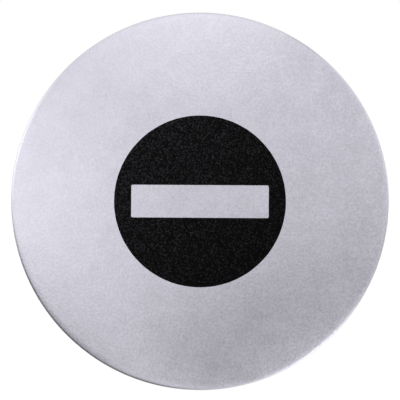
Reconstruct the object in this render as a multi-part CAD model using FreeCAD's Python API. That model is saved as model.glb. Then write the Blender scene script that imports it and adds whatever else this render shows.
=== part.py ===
import FreeCAD, Part
import math
import os

# A round no entry sign for a door. It is one flat disc blanked from stainless steel sheet,
# and it has no screw holes: a disc of double-sided mounting tape on its back holds it.
#
# Frame: the door's surface is the plane y = 0, with the origin where the sign's axis meets
# it. The sign faces the reader along -Y, and +Z is up. Sizes are in millimetres.

# The steel disc.
PLATE_DIAMETER = 75.0
PLATE_THICKNESS = 1.0

# The disc's edge, from the front face round to the back. The die draws the face down a
# little over a band beside the edge, and tumbling rounds the edge itself. Behind that is a
# straight, burnished band, then a band where the sheet broke, which leans in towards the
# back. The burr at the back is taken off.
DRAW_WIDTH = 1.2
DRAW_DEPTH = 0.06
EDGE_RADIUS = 0.4
FRACTURE_HEIGHT = 0.35
FRACTURE_LEAN = 0.05
BURR_CHAMFER = 0.1

# The mounting tape on the back, with the steel left bare round it.
TAPE_THICKNESS = 0.8
TAPE_MARGIN = 2.0

AXIS_POINT = FreeCAD.Vector(0, 0, 0)
AXIS = FreeCAD.Vector(0, 1, 0)
FULL_TURN = 360

# Depths of the faces, measured from the door.
PLATE_BACK = -TAPE_THICKNESS
PLATE_FRONT = PLATE_BACK - PLATE_THICKNESS


def on_arc(centre, radius, angle):
    """Point of a section's arc. The angle is 0 at the front and a quarter turn at the rim."""
    return centre + FreeCAD.Vector(radius * math.sin(angle), -radius * math.cos(angle), 0)


def arc(centre, radius, start, end):
    """Arc of a section between two such angles."""
    points = [on_arc(centre, radius, angle) for angle in (start, (start + end) / 2, end)]
    return Part.Arc(*points).toShape()


def plate_section():
    """Half of the plate's section, in the plane of its radius (X) and its depth (Y)."""
    rim = PLATE_DIAMETER / 2

    # The drawn band starts level with the face, and its arc meets the edge's arc smoothly.
    draw_radius = (DRAW_WIDTH**2 + DRAW_DEPTH**2) / (2 * DRAW_DEPTH)
    draw_angle = math.asin(DRAW_WIDTH / draw_radius)
    edge_centre = FreeCAD.Vector(
        rim - EDGE_RADIUS,
        PLATE_FRONT + DRAW_DEPTH + EDGE_RADIUS * math.cos(draw_angle),
        0,
    )
    draw_end = on_arc(edge_centre, EDGE_RADIUS, draw_angle)
    draw_centre = FreeCAD.Vector(draw_end.x - DRAW_WIDTH, PLATE_FRONT + draw_radius, 0)
    draw_start = on_arc(draw_centre, draw_radius, 0)

    # Corners of the straight stretches, from the burnished band to the axis and back.
    back_rim = rim - FRACTURE_LEAN
    corners = [
        FreeCAD.Vector(rim, edge_centre.y, 0),
        FreeCAD.Vector(rim, PLATE_BACK - FRACTURE_HEIGHT, 0),
        FreeCAD.Vector(back_rim, PLATE_BACK - BURR_CHAMFER, 0),
        FreeCAD.Vector(back_rim - BURR_CHAMFER, PLATE_BACK, 0),
        FreeCAD.Vector(0, PLATE_BACK, 0),
        FreeCAD.Vector(0, PLATE_FRONT, 0),
        draw_start,
    ]
    edges = [
        arc(draw_centre, draw_radius, 0, draw_angle),
        arc(edge_centre, EDGE_RADIUS, draw_angle, math.pi / 2),
    ]
    edges += [Part.makeLine(a, b) for a, b in zip(corners, corners[1:])]
    return Part.Face(Part.Wire(edges))


def sign_plate():
    """The steel disc, turned from its section."""
    return plate_section().revolve(AXIS_POINT, AXIS, FULL_TURN)


def mounting_tape():
    """The disc of double-sided tape, between the door and the back of the plate."""
    radius = PLATE_DIAMETER / 2 - TAPE_MARGIN
    return Part.makeCylinder(radius, TAPE_THICKNESS, FreeCAD.Vector(0, PLATE_BACK, 0), AXIS)


def main():
    os.makedirs("parts", exist_ok=True)
    pieces = {"sign_plate": sign_plate(), "mounting_tape": mounting_tape()}
    for name, solid in pieces.items():
        solid.exportStep(f"parts/{name}.step")
        print(f"{name}: {solid.ShapeType}, valid {solid.isValid()}, {solid.Volume:.2f} mm3")


main()
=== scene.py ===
# %% [markdown]
# # A round no entry sign
# The sign is a disc of matt stainless steel, 75 mm across, blanked from sheet and printed in
# black. It has no screw holes: a disc of foam mounting tape on its back holds it to a door.
#
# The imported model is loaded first, and it stays as it is. Everything made here takes its
# place and its size from it, so nothing has to be fitted to it afterwards. Then come the
# finishes, the three pieces that wear them, and the studio that shows them.

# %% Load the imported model
import math

import bpy
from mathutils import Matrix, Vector


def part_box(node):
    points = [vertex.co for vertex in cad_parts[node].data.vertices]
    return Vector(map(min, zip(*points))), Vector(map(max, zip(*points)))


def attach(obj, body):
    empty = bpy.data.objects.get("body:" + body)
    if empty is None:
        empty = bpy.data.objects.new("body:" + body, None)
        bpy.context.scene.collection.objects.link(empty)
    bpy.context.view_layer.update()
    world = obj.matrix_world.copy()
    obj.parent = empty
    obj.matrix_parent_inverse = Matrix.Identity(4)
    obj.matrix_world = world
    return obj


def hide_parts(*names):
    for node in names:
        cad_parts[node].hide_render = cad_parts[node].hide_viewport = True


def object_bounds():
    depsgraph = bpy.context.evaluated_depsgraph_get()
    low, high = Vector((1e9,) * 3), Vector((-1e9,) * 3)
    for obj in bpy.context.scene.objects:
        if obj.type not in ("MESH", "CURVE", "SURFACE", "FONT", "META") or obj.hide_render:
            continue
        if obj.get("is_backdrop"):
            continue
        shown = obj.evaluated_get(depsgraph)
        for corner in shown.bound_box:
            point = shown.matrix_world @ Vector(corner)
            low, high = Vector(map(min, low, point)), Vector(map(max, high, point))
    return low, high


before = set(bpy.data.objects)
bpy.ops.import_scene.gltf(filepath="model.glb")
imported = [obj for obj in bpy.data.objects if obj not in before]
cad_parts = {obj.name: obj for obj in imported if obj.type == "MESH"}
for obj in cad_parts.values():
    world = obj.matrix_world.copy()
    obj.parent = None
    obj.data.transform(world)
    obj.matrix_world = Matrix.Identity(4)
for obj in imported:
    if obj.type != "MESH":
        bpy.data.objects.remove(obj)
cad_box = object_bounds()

MM = 0.001
plate_low, plate_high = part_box("sign_plate")
tape_low, tape_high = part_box("mounting_tape")
RIM = plate_high.x
PLATE_FRONT = plate_low.y
PLATE_BACK = plate_high.y
print("disc radius", round(RIM / MM, 3), "mm, front", round(PLATE_FRONT / MM, 3), "mm")

# %% [markdown]
# # Small helpers
# Blender's sockets take linear light, and colours are easier to judge as the sRGB hex of a
# paint chart, so one function turns the second into the first. Another adds a node to any
# tree, for a material or for a mesh. What it is given by name sets the node's own properties.
# Its inputs are numbers and colours, which are set, or the outputs of other nodes, which get
# linked.

# %% Colours and nodes
def linear(hex_colour):
    """The linear colour and alpha of an sRGB hex such as #CFCDD8."""
    shares = [int(hex_colour[i:i + 2], 16) / 255 for i in (1, 3, 5)]
    return [s / 12.92 if s <= 0.04045 else ((s + 0.055) / 1.055) ** 2.4 for s in shares] + [1]


def add(tree, kind, inputs=None, **settings):
    """Adds a node with its own settings, and sets or links its inputs."""
    node = tree.nodes.new(kind)
    for name, value in settings.items():
        setattr(node, name, value)
    for name, value in (inputs or {}).items():
        if isinstance(value, bpy.types.NodeSocket):
            tree.links.new(value, node.inputs[name])
        else:
            node.inputs[name].default_value = value
    return node


print("white is", linear("#FFFFFF"), "and a mid grey", round(linear("#808080")[0], 3))

# %% [markdown]
# A Geometry Nodes tree is a small machine: named sizes go in, and a mesh comes out. The
# first function starts a tree with its inputs. The second runs a tree once on an object and
# keeps the result as a plain mesh, because what is handed on can't hold live modifiers.
#
# A modifier doesn't know its inputs by their names. Each has an identifier of its own, so
# that is looked up in the tree's interface.

# %% Start a tree, and grow a mesh with it
def new_tree(name, sizes):
    """A tree with a geometry input and output, and one named input for each size."""
    tree = bpy.data.node_groups.new(name, "GeometryNodeTree")
    for side in ("INPUT", "OUTPUT"):
        tree.interface.new_socket("Geometry", in_out=side, socket_type="NodeSocketGeometry")
    for label, value in sizes.items():
        kind = "NodeSocketInt" if isinstance(value, int) else "NodeSocketFloat"
        tree.interface.new_socket(label, in_out="INPUT", socket_type=kind).default_value = value
    return tree, tree.nodes.new("NodeGroupInput").outputs, tree.nodes.new("NodeGroupOutput")


def grow(name, tree, sizes, mesh=None):
    """Runs a tree on a mesh with these sizes, and keeps what comes out as a plain mesh."""
    piece = bpy.data.objects.new(name, mesh or bpy.data.meshes.new(name))
    bpy.context.scene.collection.objects.link(piece)
    modifier = piece.modifiers.new("grow", "NODES")
    modifier.node_group = tree
    for item in tree.interface.items_tree:
        if item.in_out == "INPUT" and item.name in sizes:
            modifier[item.identifier] = sizes[item.name]
    grown = piece.evaluated_get(bpy.context.evaluated_depsgraph_get())
    grown_mesh = bpy.data.meshes.new_from_object(grown)
    piece.modifiers.clear()
    piece.data = grown_mesh
    if grown_mesh.materials[0] is None:  # the empty slot of the mesh that went in
        grown_mesh.materials.pop(index=0)
    print(name, "has", len(grown_mesh.polygons), "faces, in", grown_mesh.materials.keys())
    return piece


# %% [markdown]
# # The finishes
# A pattern could follow a UV map, as the weave of a cloth does. These finishes have no seams,
# and run straight or in no direction at all, so they lie on the object's own coordinates
# instead. Those are turned to millimetres first, so that a pattern's scale is one over a real
# size. This function starts a material with its shader and those coordinates.
#
# Most patterns here are noises. Nearly all the values of a noise lie between 0.3 and 0.7, so
# tints and other changes are laid between those two.

# %% Start a material
MOST_NOISE = (0.3, 0.7)


def new_material(name, **shader_values):
    """A material, its node tree, its shader and its object coordinates in millimetres."""
    material = bpy.data.materials.new(name)
    material.use_nodes = True
    tree = material.node_tree
    shader = tree.nodes["Principled BSDF"]
    for socket, value in shader_values.items():
        shader.inputs[socket.replace("_", " ")].default_value = value
    place = add(tree, "ShaderNodeTexCoord").outputs["Object"]
    in_mm = add(tree, "ShaderNodeMapping", {"Vector": place, "Scale": [1 / MM] * 3}).outputs[0]
    return material, tree, shader, in_mm


print("tints are laid between the noise values", *MOST_NOISE)

# %% [markdown]
# ## Bead-blasted stainless steel
# Signs like this are cut from 304 stainless sheet, blasted with fine glass beads. The beads'
# dimples run in no direction, so the face is matt, with a faint sparkle. A brushed finish
# would need long scratches, and there are none.
#
# Dimples could be painted on as specks alone, but painted specks don't catch the light when
# the sign turns. So one noise does both: it makes each dimple a little lighter or darker than
# the next, and darker where the bump sinks, which is partly the steel's own grain and partly
# painted shade in the pits. As a bump it tilts the surface. Blasting by hand is a little
# uneven, and leaves faint clouds some millimetres wide. The grain's contrast is painted
# heavier towards the lower right, to follow the shading there.

# %% Bead-blasted stainless steel
STEEL_TINT = "#D2D0DB"  # a light grey that leans to violet
DIMPLE = 0.42  # mm between dimples: real ones are about 0.1 mm apart, which wouldn't show
DIMPLE_DEPTH = 0.024  # mm
DIMPLE_NOISE = (0.25, 0.75)  # the noise at the darkest and at the lightest dimple
GRAIN = (0.045, 0.16)  # how much a dimple's tint differs, at the upper left and at the lower right
SHADED_SIDE = (0.75, 0.0, -0.66)  # towards the lower right, where the grain's contrast is painted heavier, following the shading
CLOUD = 4.0  # mm across an unevenly blasted patch
CLOUD_SHADE = 0.05  # how much a cloud's tint differs
CLOUD_ROUGHNESS = (0.2, 0.24)


def blasted_steel():
    """The face's steel: tinted by dimples, with painted shade in their pits, and by clouds, and
    tilted by the dimples.
    """
    material, tree, shader, in_mm = new_material("bead_blasted_stainless", Metallic=1.0)
    dimples = add(tree, "ShaderNodeTexNoise", {
        "Vector": in_mm, "Scale": 1 / DIMPLE, "Detail": 2.0, "Roughness": 0.6})
    clouds = add(tree, "ShaderNodeTexNoise", {
        "Vector": in_mm, "Scale": 1 / CLOUD, "Detail": 4.0, "Roughness": 0.65})

    # The grain's contrast grows across the disc towards the lower right, painted to follow the
    # shading there.
    toward_shade = add(tree, "ShaderNodeVectorMath", {0: in_mm, 1: SHADED_SIDE}, operation="DOT_PRODUCT")
    contrast = add(tree, "ShaderNodeMapRange", {
        "Value": toward_shade.outputs["Value"], "From Min": -RIM / MM, "From Max": RIM / MM,
        "To Min": GRAIN[0], "To Max": GRAIN[1]})
    darkest = add(tree, "ShaderNodeMath", {0: 1.0, 1: contrast.outputs[0]}, operation="SUBTRACT")
    lightest = add(tree, "ShaderNodeMath", {0: 1.0, 1: contrast.outputs[0]}, operation="ADD")
    # Each dimple is darker where the bump sinks: partly the steel's own grain, partly painted shade
    # in the pit.
    grain_and_pit_shade = add(tree, "ShaderNodeMapRange", {
        "Value": dimples.outputs["Fac"], "From Min": DIMPLE_NOISE[0], "From Max": DIMPLE_NOISE[1],
        "To Min": darkest.outputs[0], "To Max": lightest.outputs[0]})
    cloud_tint = add(tree, "ShaderNodeMapRange", {
        "Value": clouds.outputs["Fac"], "From Min": MOST_NOISE[0], "From Max": MOST_NOISE[1],
        "To Min": 1 - CLOUD_SHADE, "To Max": 1 + CLOUD_SHADE})
    share = add(tree, "ShaderNodeMath", {
        0: grain_and_pit_shade.outputs[0], 1: cloud_tint.outputs[0]}, operation="MULTIPLY")
    tint = add(tree, "ShaderNodeVectorMath", {
        0: linear(STEEL_TINT)[:3], "Scale": share.outputs[0]}, operation="SCALE")

    matt = add(tree, "ShaderNodeMapRange", {
        "Value": clouds.outputs["Fac"], "From Min": MOST_NOISE[0], "From Max": MOST_NOISE[1],
        "To Min": CLOUD_ROUGHNESS[0], "To Max": CLOUD_ROUGHNESS[1]})
    bump = add(tree, "ShaderNodeBump", {
        "Height": dimples.outputs["Fac"], "Distance": DIMPLE_DEPTH * MM})
    tree.links.new(tint.outputs[0], shader.inputs["Base Color"])
    tree.links.new(matt.outputs[0], shader.inputs["Roughness"])
    tree.links.new(bump.outputs[0], shader.inputs["Normal"])
    return material


blasted = blasted_steel()
print(blasted.name, "has dimples", DIMPLE, "mm apart and clouds", CLOUD, "mm across")

# %% [markdown]
# ## The edge and the back
# After blanking, the discs tumble with ceramic chips. That rolls the front edge and wears it
# smoother and brighter than the blasted face. Where the sheet broke instead of being cut, the
# edge stays coarse and dull, with fine tears that run from front to back. The back is never
# blasted: it keeps the skin of the rolling mill, with faint lines up and down.
#
# An anisotropic shader could hint at such lines by stretching its highlights. Close up each
# line is seen by itself, so they are drawn here. All three finishes are the same steel with
# other marks, so one function makes them. Stretched along one axis, its noise turns from
# round marks into tears or lines.

# %% Tumbled edge, broken band and cold-rolled back
CHIP_MARK = 0.2  # mm across a mark that a ceramic chip leaves
TEAR_WIDTH = 0.08  # mm, as fine as the real ones
TEAR_LENGTH = 0.5  # mm, more than the band's height, so that they cross it
ROLL_LINE = 0.45  # mm across a line: real ones are a quarter of that, and wouldn't show
ROLL_LENGTH = 9.0  # mm


def worn_steel(name, dark, light, roughness, mark, depth):
    """Steel with one mark: its size in mm along X, Y and Z, two tints and its depth in mm."""
    material, tree, shader, in_mm = new_material(name, Metallic=1.0, Roughness=roughness)
    laid = add(tree, "ShaderNodeMapping", {"Vector": in_mm, "Scale": [1 / size for size in mark]})
    marks = add(tree, "ShaderNodeTexNoise", {
        "Vector": laid.outputs[0], "Scale": 1.0, "Detail": 2.0, "Roughness": 0.6})
    tint = add(tree, "ShaderNodeValToRGB", {"Fac": marks.outputs["Fac"]})
    for stop, position, colour in zip(tint.color_ramp.elements, MOST_NOISE, (dark, light)):
        stop.position = position
        stop.color = linear(colour)
    bump = add(tree, "ShaderNodeBump", {"Height": marks.outputs["Fac"], "Distance": depth * MM})
    tree.links.new(tint.outputs[0], shader.inputs["Base Color"])
    tree.links.new(bump.outputs[0], shader.inputs["Normal"])
    return material


tumbled = worn_steel(
    "tumbled_stainless", "#CAC8D0", "#D6D4DC", 0.24, [CHIP_MARK, CHIP_MARK, CHIP_MARK], 0.002)
fractured = worn_steel(
    "fractured_stainless", "#86848A", "#B4B2B8", 0.5, [TEAR_WIDTH, TEAR_LENGTH, TEAR_WIDTH], 0.02)
rolled = worn_steel(
    "cold_rolled_stainless", "#ABAAB0", "#C8C7CD", 0.32, [ROLL_LINE, ROLL_LINE, ROLL_LENGTH], 0.004)
print("edge and back:", tumbled.name, fractured.name, rolled.name)

# %% [markdown]
# ## Black screen ink
# The print is a solvent ink pressed through a mesh: a deep carbon black with a dry, almost
# matt skin. It takes on the grain of the steel below, and tiny pinholes and dust show as
# paler specks. More of them show towards the upper left, as a painted sheen of the light
# that falls from there.
#
# A plain black would look like a hole in the steel. The specks give it a surface, as noise
# whose lighter half shows and whose darker half stays black. In a white studio the shine of
# a plastic would turn the ink grey, so its own is set well below that.

# %% Black screen ink
SPECK = 0.32  # mm across a speck: pinholes are half of that, and wouldn't show
SPECK_NOISE = (0.5, 0.76)  # the noise where a speck starts, and where it is palest
SPECK_TINTS = ("#000000", "#313036")
SPECK_HEIGHT = 0.008  # mm
PAINTED_SHEEN_SIDE = (-0.7, 0.0, 0.7)  # towards the upper left, where a painted sheen of the light pales the ink
PAINTED_SHEEN_SHIFT = 0.085  # added to the noise at the rim on that side, and taken off opposite, for the painted sheen


def screen_ink():
    """The ink: black with paler specks, more of them towards the upper left as a painted sheen."""
    material, tree, shader, in_mm = new_material(
        "black_screen_ink", Roughness=0.36, Specular_IOR_Level=0.055)
    specks = add(tree, "ShaderNodeTexNoise", {
        "Vector": in_mm, "Scale": 1 / SPECK, "Detail": 3.0, "Roughness": 0.6})
    # More specks show towards the upper left: a painted sheen of the light from there.
    toward_sheen = add(tree, "ShaderNodeVectorMath", {0: in_mm, 1: PAINTED_SHEEN_SIDE}, operation="DOT_PRODUCT")
    more = add(tree, "ShaderNodeMapRange", {
        "Value": toward_sheen.outputs["Value"], "From Min": -RIM / MM, "From Max": RIM / MM,
        "To Min": -PAINTED_SHEEN_SHIFT, "To Max": PAINTED_SHEEN_SHIFT})
    shown = add(tree, "ShaderNodeMath", {0: specks.outputs["Fac"], 1: more.outputs[0]})
    tint = add(tree, "ShaderNodeValToRGB", {"Fac": shown.outputs[0]})
    for stop, position, colour in zip(tint.color_ramp.elements, SPECK_NOISE, SPECK_TINTS):
        stop.position = position
        stop.color = linear(colour)
    bump = add(tree, "ShaderNodeBump", {
        "Height": specks.outputs["Fac"], "Distance": SPECK_HEIGHT * MM})
    tree.links.new(tint.outputs[0], shader.inputs["Base Color"])
    tree.links.new(bump.outputs[0], shader.inputs["Normal"])
    return material


ink = screen_ink()
print(ink.name, "has specks", SPECK, "mm across")

# %% [markdown]
# ## Foam mounting tape
# The tape is white acrylic foam with a skin of adhesive on each side. The adhesive is soft
# and a little glossy, and keeps the pebbled print of the liner that came off it. The cut
# side shows the foam's closed cells.
#
# Pebbles and cells are both rounded and packed, so one Voronoi pattern makes either. Its
# smooth kind has no sharp creases between two cells. Light passes a little way into foam,
# so a tenth of the shader is subsurface.

# %% Adhesive skin and cut foam
PEBBLE = 1.1  # mm across a pebble of the liner's pattern
CELL = 0.12  # mm across a cell of the foam
CELL_EDGE = 0.7  # from a cell's middle to where it is darkest, as a share of its size
LIGHT_REACH = 0.3  # mm that light passes into the foam
THIN_PATCH = 14.0  # mm across a patch where the adhesive lies thinner
THIN_SHADE = (0.97, 1.02)  # how much the tint is darkened and lightened by such patches
GLOSS_CHANGE = 0.08  # how much the roughness differs in them


def foam(name, dark, light, roughness, size, depth):
    """Foam tape with one pattern: two tints, and the size and depth of a cell in mm."""
    material, tree, shader, in_mm = new_material(
        name, Subsurface_Weight=0.1, Subsurface_Scale=LIGHT_REACH * MM)
    cells = add(tree, "ShaderNodeTexVoronoi", {
        "Vector": in_mm, "Scale": 1 / size, "Smoothness": 0.3}, feature="SMOOTH_F1")
    tint = add(tree, "ShaderNodeValToRGB", {"Fac": cells.outputs["Distance"]})
    for stop, position, colour in zip(tint.color_ramp.elements, (0, CELL_EDGE), (light, dark)):
        stop.position = position
        stop.color = linear(colour)

    # Where the adhesive lies thinner, the tape is a little darker and shines differently.
    patches = add(tree, "ShaderNodeTexNoise", {
        "Vector": in_mm, "Scale": 1 / THIN_PATCH, "Detail": 1.0, "Roughness": 0.5})
    thinner = add(tree, "ShaderNodeMapRange", {
        "Value": patches.outputs["Fac"], "From Min": MOST_NOISE[0], "From Max": MOST_NOISE[1],
        "To Min": THIN_SHADE[0], "To Max": THIN_SHADE[1]})
    uneven = add(tree, "ShaderNodeVectorMath", {
        0: tint.outputs["Color"], "Scale": thinner.outputs[0]}, operation="SCALE")
    gloss = add(tree, "ShaderNodeMapRange", {
        "Value": patches.outputs["Fac"], "From Min": MOST_NOISE[0], "From Max": MOST_NOISE[1],
        "To Min": roughness - GLOSS_CHANGE, "To Max": roughness + GLOSS_CHANGE})

    bump = add(tree, "ShaderNodeBump", {
        "Height": cells.outputs["Distance"], "Distance": depth * MM}, invert=True)
    tree.links.new(uneven.outputs[0], shader.inputs["Base Color"])
    tree.links.new(gloss.outputs[0], shader.inputs["Roughness"])
    tree.links.new(bump.outputs[0], shader.inputs["Normal"])
    return material


adhesive = foam("acrylic_adhesive", "#DFDEDE", "#EDECEB", 0.24, PEBBLE, 0.16)
cut_foam = foam("cut_acrylic_foam", "#C4C3C2", "#E6E5E4", 0.8, CELL, 0.04)
print("tape:", adhesive.name, "pebbles", PEBBLE, "mm,", cut_foam.name, "cells", CELL, "mm")

# %% [markdown]
# # The steel disc
# The disc is a section spun about its axis, as it would be drawn in a workshop. The section
# is where the making shows: the die draws the face down beside the edge, tumbling rolls the
# edge, a straight band follows where the punch cut, then a band that leans in where the sheet
# broke, and last a small chamfer where the burr was taken off.
#
# The section is a chain of stretches, each a line or an arc. The first functions below give
# their points, and the last joins them to one line of edges. It also writes down how far
# along the chain each point is, so that the finishes can be laid on by stretch.

# %% Lines and arcs of a section
def line(start, end, steps):
    """Points along a straight stretch, both ends included."""
    shares = [k / steps for k in range(steps + 1)]
    return [tuple(a + (b - a) * share for a, b in zip(start, end)) for share in shares]


def on_arc(centre, radius, angle):
    """A point of an arc. The angle is 0 at the front and a quarter turn at the rim."""
    return (centre[0] + radius * math.sin(angle), centre[1] - radius * math.cos(angle))


def arc(centre, radius, start, end, steps):
    """Points along an arc between two such angles, both ends included."""
    return [on_arc(centre, radius, start + (end - start) * k / steps) for k in range(steps + 1)]


def draw_section(name, stretches):
    """Edges along the stretches. Each point keeps its place: 2.5 is halfway down the third."""
    points = []
    places = []
    for number, stretch in enumerate(stretches):
        for step, point in enumerate(stretch):
            if number > 0 and step == 0:
                continue  # the stretch before it ended there
            points.append((*point, 0))
            places.append(number + step / (len(stretch) - 1))
    mesh = bpy.data.meshes.new(name)
    mesh.from_pydata(points, [(k, k + 1) for k in range(len(points) - 1)], [])
    mesh.attributes.new("place", "FLOAT", "POINT").data.foreach_set("value", places)
    return mesh


eighth = on_arc((0, 0), 1, math.pi / 4)
print("an eighth of a turn on a circle of radius 1:", [round(share, 3) for share in eighth])

# %% [markdown]
# A lathe-like shape could be made with the Screw modifier. Here a Geometry Nodes tree spins
# the section round a circular path, because the tree can also give each band of the section
# its own finish and mark its sharp corners. The path is a circle as large as the piece,
# because one of no size has no direction to follow. So the section is first moved in by the
# circle's radius. A circle of straight steps is never quite round, and the more steps it has,
# the less that shows.

# %% Spin a section
STEPS_AROUND = 360


def spin(tree, size):
    """Spins the section that the tree gets about Y, and marks its sharp corners."""
    back = add(tree, "ShaderNodeMath", {0: 0.0, 1: size["Path Radius"]}, operation="SUBTRACT")
    shift = add(tree, "ShaderNodeCombineXYZ", {"X": back.outputs[0]})
    moved = add(tree, "GeometryNodeSetPosition", {
        "Geometry": size["Geometry"], "Offset": shift.outputs[0]})
    section = add(tree, "GeometryNodeMeshToCurve", {0: moved.outputs[0]})
    path = add(tree, "GeometryNodeCurvePrimitiveCircle", {
        "Radius": size["Path Radius"], "Resolution": size["Steps Around"]})
    spun = add(tree, "GeometryNodeCurveToMesh", {
        "Curve": path.outputs[0], "Profile Curve": section.outputs[0]})
    upright = add(tree, "GeometryNodeTransform", {
        "Geometry": spun.outputs[0], "Rotation": (math.radians(90), 0, 0)})

    # At the axis a ring is many points in one place, and welding them closes the mesh.
    closed = add(tree, "GeometryNodeMergeByDistance", {
        "Geometry": upright.outputs[0], "Distance": size["Weld"]})

    # The mesh is shaded smooth, apart from the edges where it turns a corner.
    angle = add(tree, "GeometryNodeInputMeshEdgeAngle")
    corner = add(tree, "FunctionNodeCompare", {
        0: angle.outputs[0], 1: size["Sharp Corner"]}, operation="GREATER_THAN")
    smooth = add(tree, "GeometryNodeSetShadeSmooth", {
        "Geometry": closed.outputs[0], "Selection": corner.outputs[0], "Shade Smooth": False},
        domain="EDGE")
    return smooth.outputs[0]


out_of_round = RIM * (1 - math.cos(math.pi / STEPS_AROUND))
print("a rim of", STEPS_AROUND, "steps is round to", round(out_of_round / MM, 4), "mm")

# %% [markdown]
# The finishes are laid on last. The first covers everything, and each of the others takes
# the stretches that are its own. Each point knows how far along the section it is, and a
# face takes the mean of its corners, which always lies inside the face's own stretch.

# %% The tree that spins a section
def spin_tree(finishes):
    """A tree that spins a section. Each finish is a material and the places it lies between."""
    tree, size, result = new_tree("spin_a_section", {
        "Path Radius": RIM, "Steps Around": STEPS_AROUND, "Sharp Corner": math.radians(15),
        "Weld": 0.001 * MM})
    real = add(tree, "GeometryNodeRealizeInstances", {"Geometry": spin(tree, size)})
    last = add(tree, "GeometryNodeSetMaterial", {
        "Geometry": real.outputs[0], "Material": finishes[0][0]})
    place = add(tree, "GeometryNodeInputNamedAttribute", {"Name": "place"}, data_type="FLOAT")
    for material, first, end in finishes[1:]:
        here = add(tree, "FunctionNodeCompare", {
            0: place.outputs[0], 1: (first + end) / 2, "Epsilon": (end - first) / 2},
            operation="EQUAL")
        last = add(tree, "GeometryNodeSetMaterial", {
            "Geometry": last.outputs[0], "Selection": here.outputs[0], "Material": material})
    tree.links.new(last.outputs[0], result.inputs[0])
    print("a tree of", len(tree.nodes), "nodes, with finishes:", len(finishes))
    return tree


# %% [markdown]
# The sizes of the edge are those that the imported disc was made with. The arc of the drawn
# band starts level with the face, and its radius and angle follow from the band's width and
# depth. The edge's arc takes over at that same angle, so no crease shows between them.

# %% The disc's own section
DRAW_WIDTH = 1.2 * MM  # the band that the die draws down
DRAW_DEPTH = 0.06 * MM
EDGE_RADIUS = 0.4 * MM  # the rolled edge
FRACTURE_HEIGHT = 0.35 * MM  # from where the sheet broke to the back
FRACTURE_LEAN = 0.05 * MM
BURR_CHAMFER = 0.1 * MM
FACE_RINGS = 14  # rings of faces from the middle of a flat side to its edge
ARC_STEPS = 12  # rings of faces along an arc

draw_radius = (DRAW_WIDTH**2 + DRAW_DEPTH**2) / (2 * DRAW_DEPTH)
draw_angle = math.asin(DRAW_WIDTH / draw_radius)
edge_centre = (RIM - EDGE_RADIUS, PLATE_FRONT + DRAW_DEPTH + EDGE_RADIUS * math.cos(draw_angle))
draw_end = on_arc(edge_centre, EDGE_RADIUS, draw_angle)
draw_centre = (draw_end[0] - DRAW_WIDTH, PLATE_FRONT + draw_radius)
cut_end = (RIM, PLATE_BACK - FRACTURE_HEIGHT)
break_end = (RIM - FRACTURE_LEAN, PLATE_BACK - BURR_CHAMFER)
back_edge = (break_end[0] - BURR_CHAMFER, PLATE_BACK)
plate_section = draw_section("plate_section", [
    line((0, PLATE_FRONT), (draw_centre[0], PLATE_FRONT), FACE_RINGS),
    arc(draw_centre, draw_radius, 0, draw_angle, ARC_STEPS),
    arc(edge_centre, EDGE_RADIUS, draw_angle, math.pi / 2, ARC_STEPS),
    line((RIM, edge_centre[1]), cut_end, 1),
    line(cut_end, break_end, 2),
    line(break_end, back_edge, 1),
    line(back_edge, (0, PLATE_BACK), FACE_RINGS),
])
print("the face is drawn down by", round(math.degrees(draw_angle), 2), "degrees at the edge")

# %% Spin the disc
plate_finishes = [
    (blasted, 0, 2),  # the face and its drawn band
    (tumbled, 2, 4),  # the rolled edge and the burnished band
    (fractured, 4, 5),  # the band that leans in
    (tumbled, 5, 6),  # the chamfer
    (rolled, 6, 7),  # the back
]
disc = grow("steel_disc", spin_tree(plate_finishes), {"Path Radius": RIM}, plate_section)
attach(disc, "root")
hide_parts("sign_plate")

# %% [markdown]
# # The mounting tape
# The tape is cut with a knife-edged die, and the foam springs back a little after the cut,
# so its side is slightly hollow. The same tree spins its section. A plain cylinder would
# show a side that is dead straight.
#
# The hollow is an arc through the side's two corners. Its centre lies outside the tape, so
# its radius is negative here.

# %% Spin the tape
TAPE_HOLLOW = 0.04 * MM  # halfway between the tape's two faces
SIDE_STEPS = 6
tape_rim = tape_high.x
tape_middle = (tape_low.y + tape_high.y) / 2
half_tape = (tape_high.y - tape_low.y) / 2
hollow_radius = (half_tape**2 + TAPE_HOLLOW**2) / (2 * TAPE_HOLLOW)
hollow_angle = math.asin(half_tape / hollow_radius)
hollow_centre = (tape_rim - TAPE_HOLLOW + hollow_radius, tape_middle)
front_angle = math.pi / 2 + hollow_angle
back_angle = math.pi / 2 - hollow_angle
side = arc(hollow_centre, -hollow_radius, front_angle, back_angle, SIDE_STEPS)
tape_section = draw_section("tape_section", [
    line((0, side[0][1]), side[0], FACE_RINGS),
    side,
    line(side[-1], (0, side[-1][1]), FACE_RINGS),
])
tape_finishes = [(adhesive, 0, 1), (cut_foam, 1, 2), (adhesive, 2, 3)]
tape = grow("foam_tape", spin_tree(tape_finishes), {"Path Radius": tape_rim}, tape_section)
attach(tape, "root")
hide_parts("mounting_tape")
print("the tape is", round(2 * half_tape / MM, 2), "mm thick")

# %% [markdown]
# # The printed symbol
# The sign carries the plain no entry symbol: a black disc with a bar of bare steel across
# it. Ink has a thickness of a few hundredths of a millimetre, and its edge follows the
# threads of the screen, so it is never quite smooth.
#
# It could be painted in the steel's material, but a separate film has a true edge and can
# be given another finish. So the symbol is two outlines, the area between them, and the
# ink's thickness. The bar's length and height are shares of the symbol's diameter, because
# they go together. The other sizes are those of the ink and of the screen.

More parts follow.
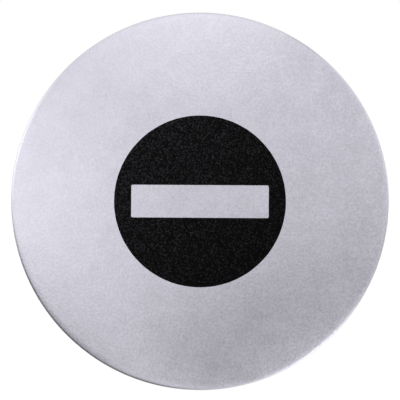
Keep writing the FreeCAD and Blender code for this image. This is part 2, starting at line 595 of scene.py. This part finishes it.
# %% Sizes of the print
SYMBOL_DIAMETER = 34 * MM
symbol_sizes = {
    "Diameter": SYMBOL_DIAMETER,
    "Steps Around": 256,
    "Bar Length": 0.8 * SYMBOL_DIAMETER,
    "Bar Height": 0.19 * SYMBOL_DIAMETER,
    "Corner Radius": 0.3 * MM,
    "Corner Steps": 6,
    "Thread": 0.12 * MM,
    "Ragged Edge": 0.08 * MM,
    "Wander Length": 1.1 * MM,
    "Seed": 7,
    "Ink Thickness": 0.02 * MM,
    "Depth": PLATE_FRONT,
    "Weld": 0.0001 * MM,
}
print("the bar is", round(symbol_sizes["Bar Length"] / MM, 1), "by",
      round(symbol_sizes["Bar Height"] / MM, 1), "mm")

# %% [markdown]
# The outlines are curves. Their points are laid a thread apart, and a noise moves each of
# them a little in the plane of the print, so the edge wanders as the screen's threads leave
# it. The noise has a seed, so the edge is the same each time.

# %% Ragged outlines
def ragged_outlines(tree, size):
    """The curves of a circle and a bar, with the edges of a screen print."""
    radius = add(tree, "ShaderNodeMath", {0: size["Diameter"], 1: 0.5}, operation="MULTIPLY")
    round_line = add(tree, "GeometryNodeCurvePrimitiveCircle", {
        "Radius": radius.outputs[0], "Resolution": size["Steps Around"]})
    oblong = add(tree, "GeometryNodeCurvePrimitiveQuadrilateral", {
        "Width": size["Bar Length"], "Height": size["Bar Height"]})
    bar = add(tree, "GeometryNodeFilletCurve", {
        "Curve": oblong.outputs[0], "Radius": size["Corner Radius"],
        "Count": size["Corner Steps"]}, mode="POLY")
    outlines = add(tree, "GeometryNodeJoinGeometry")
    for outline in (round_line, bar):
        tree.links.new(outline.outputs[0], outlines.inputs[0])
    fine = add(tree, "GeometryNodeResampleCurve", {
        "Curve": outlines.outputs[0], "Length": size["Thread"]}, mode="LENGTH")
    position = add(tree, "GeometryNodeInputPosition")
    waves = add(tree, "ShaderNodeMath", {0: 1.0, 1: size["Wander Length"]}, operation="DIVIDE")
    wander = add(tree, "ShaderNodeTexNoise", {
        "Vector": position.outputs[0], "W": size["Seed"], "Scale": waves.outputs[0],
        "Detail": 2.0}, noise_dimensions="4D")
    centred = add(tree, "ShaderNodeVectorMath", {
        0: wander.outputs["Color"], 1: (0.5, 0.5, 0.5)}, operation="SUBTRACT")
    scaled = add(tree, "ShaderNodeVectorMath", {
        0: centred.outputs[0], "Scale": size["Ragged Edge"]}, operation="SCALE")
    flat = add(tree, "ShaderNodeVectorMath", {
        0: scaled.outputs[0], 1: (1, 1, 0)}, operation="MULTIPLY")
    ragged = add(tree, "GeometryNodeSetPosition", {
        "Geometry": fine.outputs[0], "Offset": flat.outputs[0]})
    return ragged.outputs[0]


print("a point every", round(symbol_sizes["Thread"] / MM, 2), "mm, moved each way by at most",
      round(symbol_sizes["Ragged Edge"] / 2 / MM, 2), "mm")

# %% [markdown]
# The film is the filled area between the outlines. Extruding it lifts it by the ink's
# thickness and adds its sides, and a copy that is turned over closes it below. It is made
# lying down, so it is stood up at the end and set on the steel.

# %% The tree that prints a symbol
def print_tree(material, sizes):
    """A film of ink between a circle and a bar, on the front face."""
    tree, size, result = new_tree("print_a_symbol", sizes)
    outlines = ragged_outlines(tree, size)
    film = add(tree, "GeometryNodeFillCurve", {"Curve": outlines}, mode="TRIANGLES")
    lift = add(tree, "ShaderNodeCombineXYZ", {"Z": size["Ink Thickness"]})
    raised = add(tree, "GeometryNodeExtrudeMesh", {
        "Mesh": film.outputs[0], "Offset": lift.outputs[0], "Offset Scale": 1.0,
        "Individual": False}, mode="FACES")
    under = add(tree, "GeometryNodeFlipFaces", {0: film.outputs[0]})
    both = add(tree, "GeometryNodeJoinGeometry")
    for skin in (raised, under):
        tree.links.new(skin.outputs[0], both.inputs[0])
    closed = add(tree, "GeometryNodeMergeByDistance", {
        "Geometry": both.outputs[0], "Distance": size["Weld"]})
    depth = add(tree, "ShaderNodeCombineXYZ", {"Y": size["Depth"]})
    upright = add(tree, "GeometryNodeTransform", {
        "Geometry": closed.outputs[0], "Translation": depth.outputs[0],
        "Rotation": (math.radians(90), 0, 0)})
    real = add(tree, "GeometryNodeRealizeInstances", {"Geometry": upright.outputs[0]})
    inked = add(tree, "GeometryNodeSetMaterial", {"Geometry": real.outputs[0], "Material": material})
    tree.links.new(inked.outputs[0], result.inputs[0])
    print("a tree of", len(tree.nodes), "nodes")
    return tree


# %% Print the symbol
symbol = grow("printed_symbol", print_tree(ink, symbol_sizes), symbol_sizes)
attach(symbol, "root")

# %% [markdown]
# # The studio
# The camera looks at the sign square-on, as in the photograph. Its distance follows from
# how many of the picture's 400 pixels the disc fills. Any lens would do for a flat sign, so
# this is the usual one of 50 mm. Close up, the outline isn't the rim's widest circle: it is
# where the sight line grazes the rolled edge, a little in front of it.

# %% Camera
LENS = 50  # mm
NEAREST = 10 * MM  # the camera sees nothing that is nearer
PICTURE = 400  # pixels a side
OUTLINE_RADIUS = 188.9  # pixels
OUTLINE_CENTRE = (200.0, 201.4)  # pixels from the left and from the top
ROLL = math.radians(0.35)  # the picture is turned by this

camera_data = bpy.data.cameras.new("camera")
camera_data.lens = LENS
camera_data.clip_start = NEAREST
camera = bpy.data.objects.new("camera", camera_data)
bpy.context.scene.collection.objects.link(camera)
bpy.context.scene.camera = camera
focal = LENS / camera_data.sensor_width * PICTURE
graze = math.atan(OUTLINE_RADIUS / focal)
outline = on_arc(edge_centre, EDGE_RADIUS, math.pi / 2 - graze)
distance = outline[0] / math.tan(graze)
pixel = distance / focal
camera.location = (
    (PICTURE / 2 - OUTLINE_CENTRE[0]) * pixel,
    outline[1] - distance,
    (OUTLINE_CENTRE[1] - PICTURE / 2) * pixel,
)
camera.rotation_euler = (math.radians(90), -ROLL, 0)
print("camera", round(distance / MM, 1), "mm off, one pixel is", round(pixel / MM, 3), "mm")

# %% [markdown]
# Steel has no colour of its own to show. It looks as bright as what it mirrors, so it is lit
# by what stands round it. A picture of a studio could do that, but a white world is enough
# where cards shape the light, as they do below. It is white for the camera and for
# reflections, and softer where it lights the ink and the tape.

# %% World
LIGHT_ON_MATT = 0.7
world = bpy.data.worlds.new("studio")
bpy.context.scene.world = world
world.use_nodes = True
world_tree = world.node_tree
world_tree.nodes.clear()


def seen_directly(tree):
    """1 for rays from the camera, from a mirror or through glass, and 0 for the rest."""
    rays = add(tree, "ShaderNodeLightPath").outputs
    mirror = add(tree, "ShaderNodeMath", {
        0: rays["Is Camera Ray"], 1: rays["Is Glossy Ray"]}, operation="MAXIMUM")
    glass = add(tree, "ShaderNodeMath", {
        0: mirror.outputs[0], 1: rays["Is Transmission Ray"]}, operation="MAXIMUM")
    return glass.outputs[0]


level = add(world_tree, "ShaderNodeMapRange", {
    "Value": seen_directly(world_tree), "To Min": LIGHT_ON_MATT, "To Max": 1.0})
white = add(world_tree, "ShaderNodeBackground", {
    "Strength": level.outputs[0], "Color": linear("#FFFFFF")})
add(world_tree, "ShaderNodeOutputWorld", {"Surface": white.outputs[0]})
print("world is 1 in mirrors and", LIGHT_ON_MATT, "on matt surfaces")

# %% [markdown]
# A photographer shapes a shiny thing's looks with cards, and these do the same. Area lamps
# could do it too, but a card's light can change across it. Each card is a band of revolution
# round the sign's axis, spun by the same tree as the disc. It is evenly bright, with soft
# patches that are brighter or darker. Only reflections see the cards, so they cast no shadow
# and light nothing matt, and the camera looks through them.

# %% A card of the studio
BLACK_CARD = 0.12  # even black cloth gives some light back


def round_point(radius, degrees, depth):
    """A point at an angle round the sign's axis, from the right and up."""
    angle = math.radians(degrees)
    return (radius * math.cos(angle), depth, radius * math.sin(angle))


def band_card(name, inner, outer, level, patches):
    """A band between two circles, each a radius and a depth, with its level and its patches."""
    material = bpy.data.materials.new(name)
    material.use_nodes = True
    tree = material.node_tree
    tree.nodes.clear()
    place = add(tree, "ShaderNodeTexCoord").outputs["Object"]

    # The level is a number at first, and each patch adds its own change to it.
    for centre, reach, change in patches:
        away = add(tree, "ShaderNodeVectorMath", {0: place, 1: centre}, operation="DISTANCE")
        patch = add(tree, "ShaderNodeMapRange", {
            "Value": away.outputs["Value"], "From Max": reach, "To Min": change, "To Max": 0.0},
            interpolation_type="SMOOTHSTEP")
        level = add(tree, "ShaderNodeMath", {0: level, 1: patch.outputs[0]}).outputs[0]
    level = add(tree, "ShaderNodeMath", {0: level, 1: BLACK_CARD}, operation="MAXIMUM").outputs[0]
    light = add(tree, "ShaderNodeEmission", {"Color": linear("#FFFFFF"), "Strength": level})
    add(tree, "ShaderNodeOutputMaterial", {"Surface": light.outputs[0]})
    section = draw_section(name, [[inner, outer]])
    card = grow(name, spin_tree([(material, 0, 1)]), {"Path Radius": outer[0]}, section)
    card.visible_camera = False
    card.visible_diffuse = False
    card.visible_shadow = False
    card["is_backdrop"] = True


# %% [markdown]
# The front panel stands behind the camera and makes the slow shading of the face: light from
# the left and from above, dim from below and from the right. Near the rim the steel mirrors
# the outer part of the panel, because there it slopes. So a patch far out touches only the
# rim.

# %% Front panel
PANEL_DISTANCE = 160 * MM
PANEL_RADIUS = 132 * MM


def mirrored(radius, slope):
    """How far out on the panel lies what the steel mirrors, at this radius and slope."""
    sight = math.atan(radius / distance) + 2 * slope
    return radius + (PANEL_DISTANCE + PLATE_FRONT) * math.tan(sight)


# Each patch: how far right and up its middle is, its reach, all in mm, and its change.
panel_plan = [
    (-100, 3, 100, 0.43),  # light from the left
    (-8, 122, 104, 0.48),  # light from above
    (18, 84, 34, 0.06),
    (-50, 66, 45, 0.08),
    (-2, -78, 38, -0.45),  # dim low down, and on the right
    (35, -55, 35, -0.32),
    (88, -48, 54, -0.29),
    (48, -35, 80, -0.09),
    (92, 8, 42, -0.08),
    (-48, -60, 34, 0.06),
    (-107, -87, 67, -0.68),  # dark far out at the lower left, which draws the rim there
    (-63, -101, 42, -0.27),
    (32, -110, 36, -0.3),
    (-23, -91, 22, 0.33),  # a light spot between two dark ones
]
panel_patches = [
    ((across * MM, -PANEL_DISTANCE, up * MM), reach * MM, change)
    for across, up, reach, change in panel_plan
]
panel_edge = (PANEL_RADIUS, -PANEL_DISTANCE)
band_card("front_panel", (0, -PANEL_DISTANCE), panel_edge, level=0.856, patches=panel_patches)
print("the flat face mirrors it out to", round(mirrored(draw_centre[0], 0) / MM), "mm,",
      "the drawn band out to", round(mirrored(draw_end[0], draw_angle) / MM), "mm")

# %% [markdown]
# A narrow ring round the rim sets what the rolled edge mirrors: dark at the lower left, which
# draws the thin dark line there, and bright on the left and at the lower right.

# %% Ring round the rim
RING_RADIUS = RIM + 1 * MM
RING_DEPTH = 2.4 * MM

# Each patch: its angle from the right and up, its reach in mm, and its change.
ring_plan = [
    (229, 40, -1.5),
    (163, 20, 0.7),
    (56, 8, -0.3),
    (-15, 20, -0.35),
    (-52, 16, 0.8),
]
ring_patches = [
    (round_point(RING_RADIUS, degrees, PLATE_FRONT), reach * MM, change)
    for degrees, reach, change in ring_plan
]
ring_front = (RING_RADIUS, PLATE_FRONT - RING_DEPTH)
band_card("rim_ring", (RING_RADIUS, PLATE_FRONT), ring_front, level=1.05, patches=ring_patches)

# %% [markdown]
# The other two cards are for views from the side and from behind. The tent joins on to the
# front panel, and the back panel is its like on the other side of the sign. Their patches
# give the steel a slow change from light to dark, without which it looks like grey paint.

# %% Tent and back panel
TENT_RADIUS = 190 * MM
TENT_DEPTH = 50 * MM

# Each patch: its middle, its reach and its change.
tent_patches = [
    (round_point(TENT_RADIUS, 180, -PANEL_DISTANCE / 2), 170 * MM, -0.35),
    (round_point(TENT_RADIUS, 0, -PANEL_DISTANCE / 2), 170 * MM, -0.35),
    (round_point(TENT_RADIUS, 270, -PANEL_DISTANCE / 2), 120 * MM, -0.25),
]
tent_end = (TENT_RADIUS, -TENT_DEPTH)
band_card("tent", panel_edge, tent_end, level=1.0, patches=tent_patches)

back_patches = [
    (round_point(PANEL_RADIUS, 60, PANEL_DISTANCE), 150 * MM, 0.5),
    (round_point(PANEL_RADIUS, 230, PANEL_DISTANCE), 170 * MM, -0.6),
]
back_end = (TENT_RADIUS, PANEL_DISTANCE)
band_card("back_panel", (0, PANEL_DISTANCE), back_end, level=0.85, patches=back_patches)

# %% [markdown]
# Two lamps light the ink, the tape and the floor. The key stands overhead, a little to the
# left. The weaker one stands behind and is very broad, and it brings out the tape's pebbles.
# Both are high up, so that the shadow falls below the sign. They are suns, because a sun's
# light doesn't fall off and the floor keeps one level out to the horizon. The steel doesn't
# mirror them, because the cards already stand for them there.

# %% Lamps
# Each lamp: where it shines from, its strength, and the width of its disc in degrees.
lamps = {
    "key_lamp": ((-0.25, 0.0, 1.0), 1.0, 20),
    "back_lamp": ((0.35, 0.5, 1.0), 0.5, 80),
}
for name, (place, strength, width) in lamps.items():
    lamp_data = bpy.data.lights.new(name, "SUN")
    lamp_data.angle = math.radians(width)
    lamp_data.energy = strength
    lamp = bpy.data.objects.new(name, lamp_data)
    bpy.context.scene.collection.objects.link(lamp)
    lamp.location = place
    lamp.rotation_euler = Vector(place).to_track_quat("Z", "Y").to_euler()
    lamp.visible_glossy = False
    lean = math.degrees(Vector(place).angle((0, 0, 1)))
    print(name, "leans", round(lean), "degrees from straight overhead")

# %% [markdown]
# The floor is pale and plain, just below the sign, and takes its shadow. A little light of
# its own, for the rays that see it directly, makes the rest of it as white as the background.
# From below it lets the view through, and the steel mirrors the cards and not the floor.

# %% Floor
FLOOR_GAP = 8 * MM
FLOOR_SIZE = 6  # m
FLOOR_GLOW = 0.03
floor_material, tree, shader, _ = new_material(
    "pale_floor", Roughness=0.9, Specular_IOR_Level=0.0)
shader.inputs["Base Color"].default_value = linear("#F2F2F0")
shader.inputs["Emission Color"].default_value = linear("#FFFFFF")
glow = add(tree, "ShaderNodeMath", {
    0: seen_directly(tree), 1: FLOOR_GLOW}, operation="MULTIPLY")
tree.links.new(glow.outputs[0], shader.inputs["Emission Strength"])
from_below = add(tree, "ShaderNodeNewGeometry").outputs["Backfacing"]
from_above = add(tree, "ShaderNodeMath", {0: 1.0, 1: from_below}, operation="SUBTRACT")
tree.links.new(from_above.outputs[0], shader.inputs["Alpha"])

floor_level = -RIM - FLOOR_GAP
half = FLOOR_SIZE / 2
corners = [(-half, -half), (half, -half), (half, half), (-half, half)]
floor_mesh = bpy.data.meshes.new("floor")
floor_mesh.from_pydata([(x, y, floor_level) for x, y in corners], [], [(0, 1, 2, 3)])
floor_mesh.materials.append(floor_material)
floor = bpy.data.objects.new("floor", floor_mesh)
bpy.context.scene.collection.objects.link(floor)
floor.visible_glossy = False
floor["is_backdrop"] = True
print("floor", round(-floor_level / MM, 1), "mm below the sign's axis")

# %% [markdown]
# # Sizes and finish
# Both boxes, the imported model's and the dressed sign's, are kept, each as its lowest and
# its highest corner, and how far each corner moved is printed. The dressed sign has to keep
# to the imported model's box. The ink stands out of the box by its thickness.
# The rim does so by a few thousandths of a millimetre, because it has more steps and so is
# rounder.

# %% Keep both boxes, and finish
bpy.context.scene.view_settings.view_transform = "Standard"
boxes = {
    "cad": [list(corner) for corner in cad_box],
    "visual": [list(corner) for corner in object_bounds()],
}
for side, cad, visual in zip(("low", "high"), boxes["cad"], boxes["visual"]):
    print(side, "corner moved by", [round((v - c) / MM, 3) for c, v in zip(cad, visual)], "mm")
